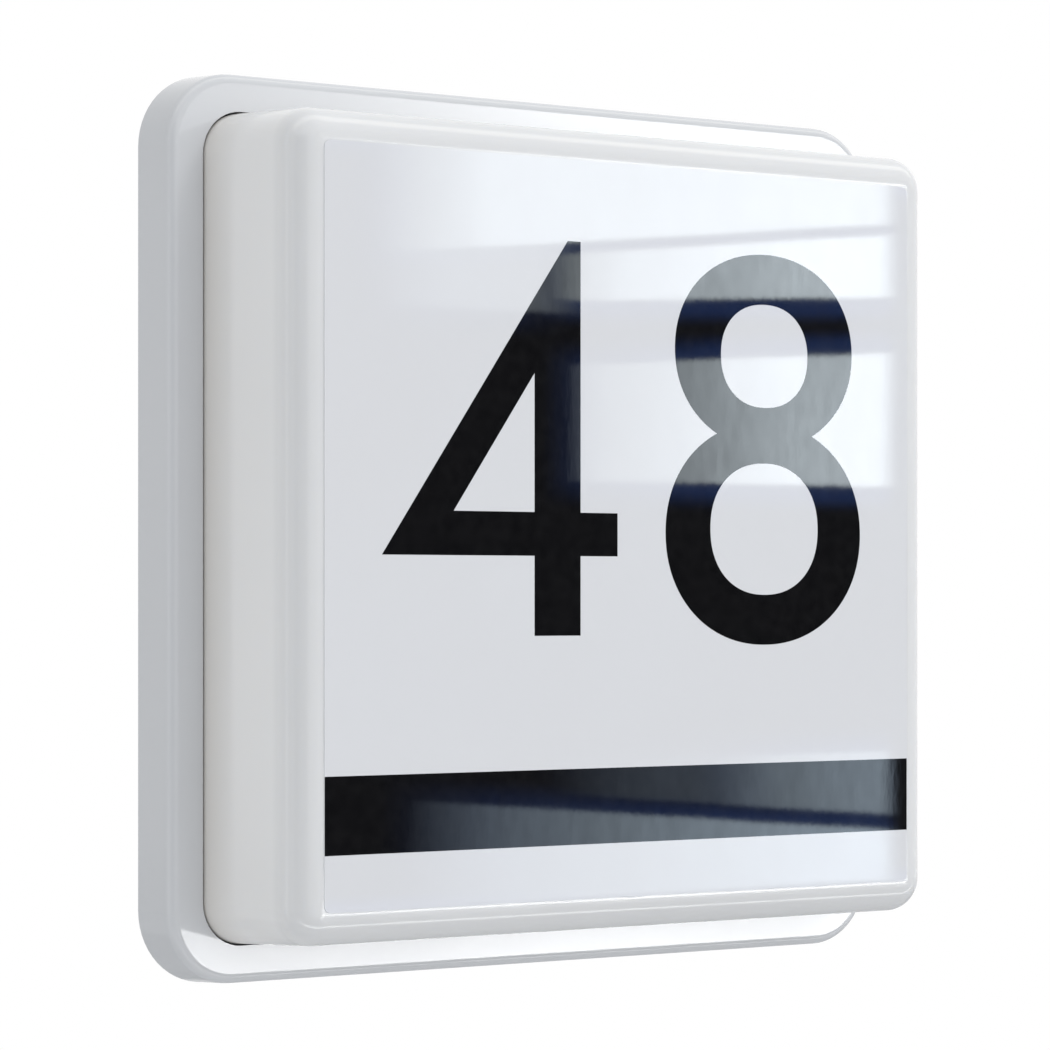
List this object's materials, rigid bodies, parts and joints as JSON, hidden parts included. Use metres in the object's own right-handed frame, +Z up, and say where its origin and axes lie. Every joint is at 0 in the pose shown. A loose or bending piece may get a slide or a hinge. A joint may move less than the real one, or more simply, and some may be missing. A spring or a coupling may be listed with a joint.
{
  "type": "illuminated house number sign",
  "caption": "Square wall luminaire: a white base tray and a deep opal cover whose front carries a printed film with the house number.",
  "frame": {"origin": "middle of the square back face, on the wall plane, which is also the middle of the four fixing slots", "axes": "+Z up the wall, +Y into the wall, so that the numbered face looks along -Y; +X to the right as seen from the front"},
  "size_m": [0.26, 0.0609, 0.26],
  "materials": {
    "white_plastic": "moulded, satin",
    "opal_plastic": "opal, glossy",
    "printed_film": "glossy film with black print",
    "dark_rubber": "matt",
    "spring_steel": "bright strip",
    "screw_steel": "zinc plated",
    "clear_plastic": "milky, satin",
    "brass": "turned",
    "green_board": "laminate with solder mask",
    "dark_plastic": "satin",
    "white_sheet": "white powder coat",
    "white_board": "white solder mask",
    "led_yellow": "phosphor under clear resin",
    "white_lead": "smooth insulation",
    "brown_lead": "smooth insulation",
    "blue_lead": "smooth insulation",
    "red_lead": "smooth insulation",
    "black_lead": "smooth insulation"
  },
  "bodies": {
    "base": {"base_tray": "white_plastic", "base_seal": "dark_rubber", "cover_clips": "spring_steel", "cable_grommet": "dark_rubber", "cable_clamp": "white_plastic", "clamp_screws": "screw_steel", "terminal_block": "clear_plastic", "terminal_inserts": "brass", "terminal_screws": "screw_steel", "driver_case": "white_plastic", "driver_lid": "white_plastic", "driver_board": "green_board", "driver_transformer": "dark_plastic", "driver_capacitors": "dark_plastic", "driver_screws": "screw_steel", "led_plate": "white_sheet", "plate_screws": "screw_steel", "led_board_1": "white_board", "led_board_2": "white_board", "led_board_3": "white_board", "led_board_4": "white_board", "leds_1": "led_yellow", "leds_2": "led_yellow", "leds_3": "led_yellow", "leds_4": "led_yellow", "board_screws": "screw_steel", "board_links": "white_lead", "plate_grommet": "dark_rubber", "lead_connector": "white_plastic", "wire_live": "brown_lead", "wire_neutral": "blue_lead", "wire_led_plus": "red_lead", "wire_led_minus": "black_lead"},
    "cover": {"diffuser_cover": "opal_plastic", "face_film": "printed_film"}
  },
  "joints": [
    {"name": "cover_pull", "type": "slide", "parent": "base", "child": "cover", "axis": [0, -1, 0], "range_m": [0, 0.06], "deforming": ["cover_clips"]}
  ]
}
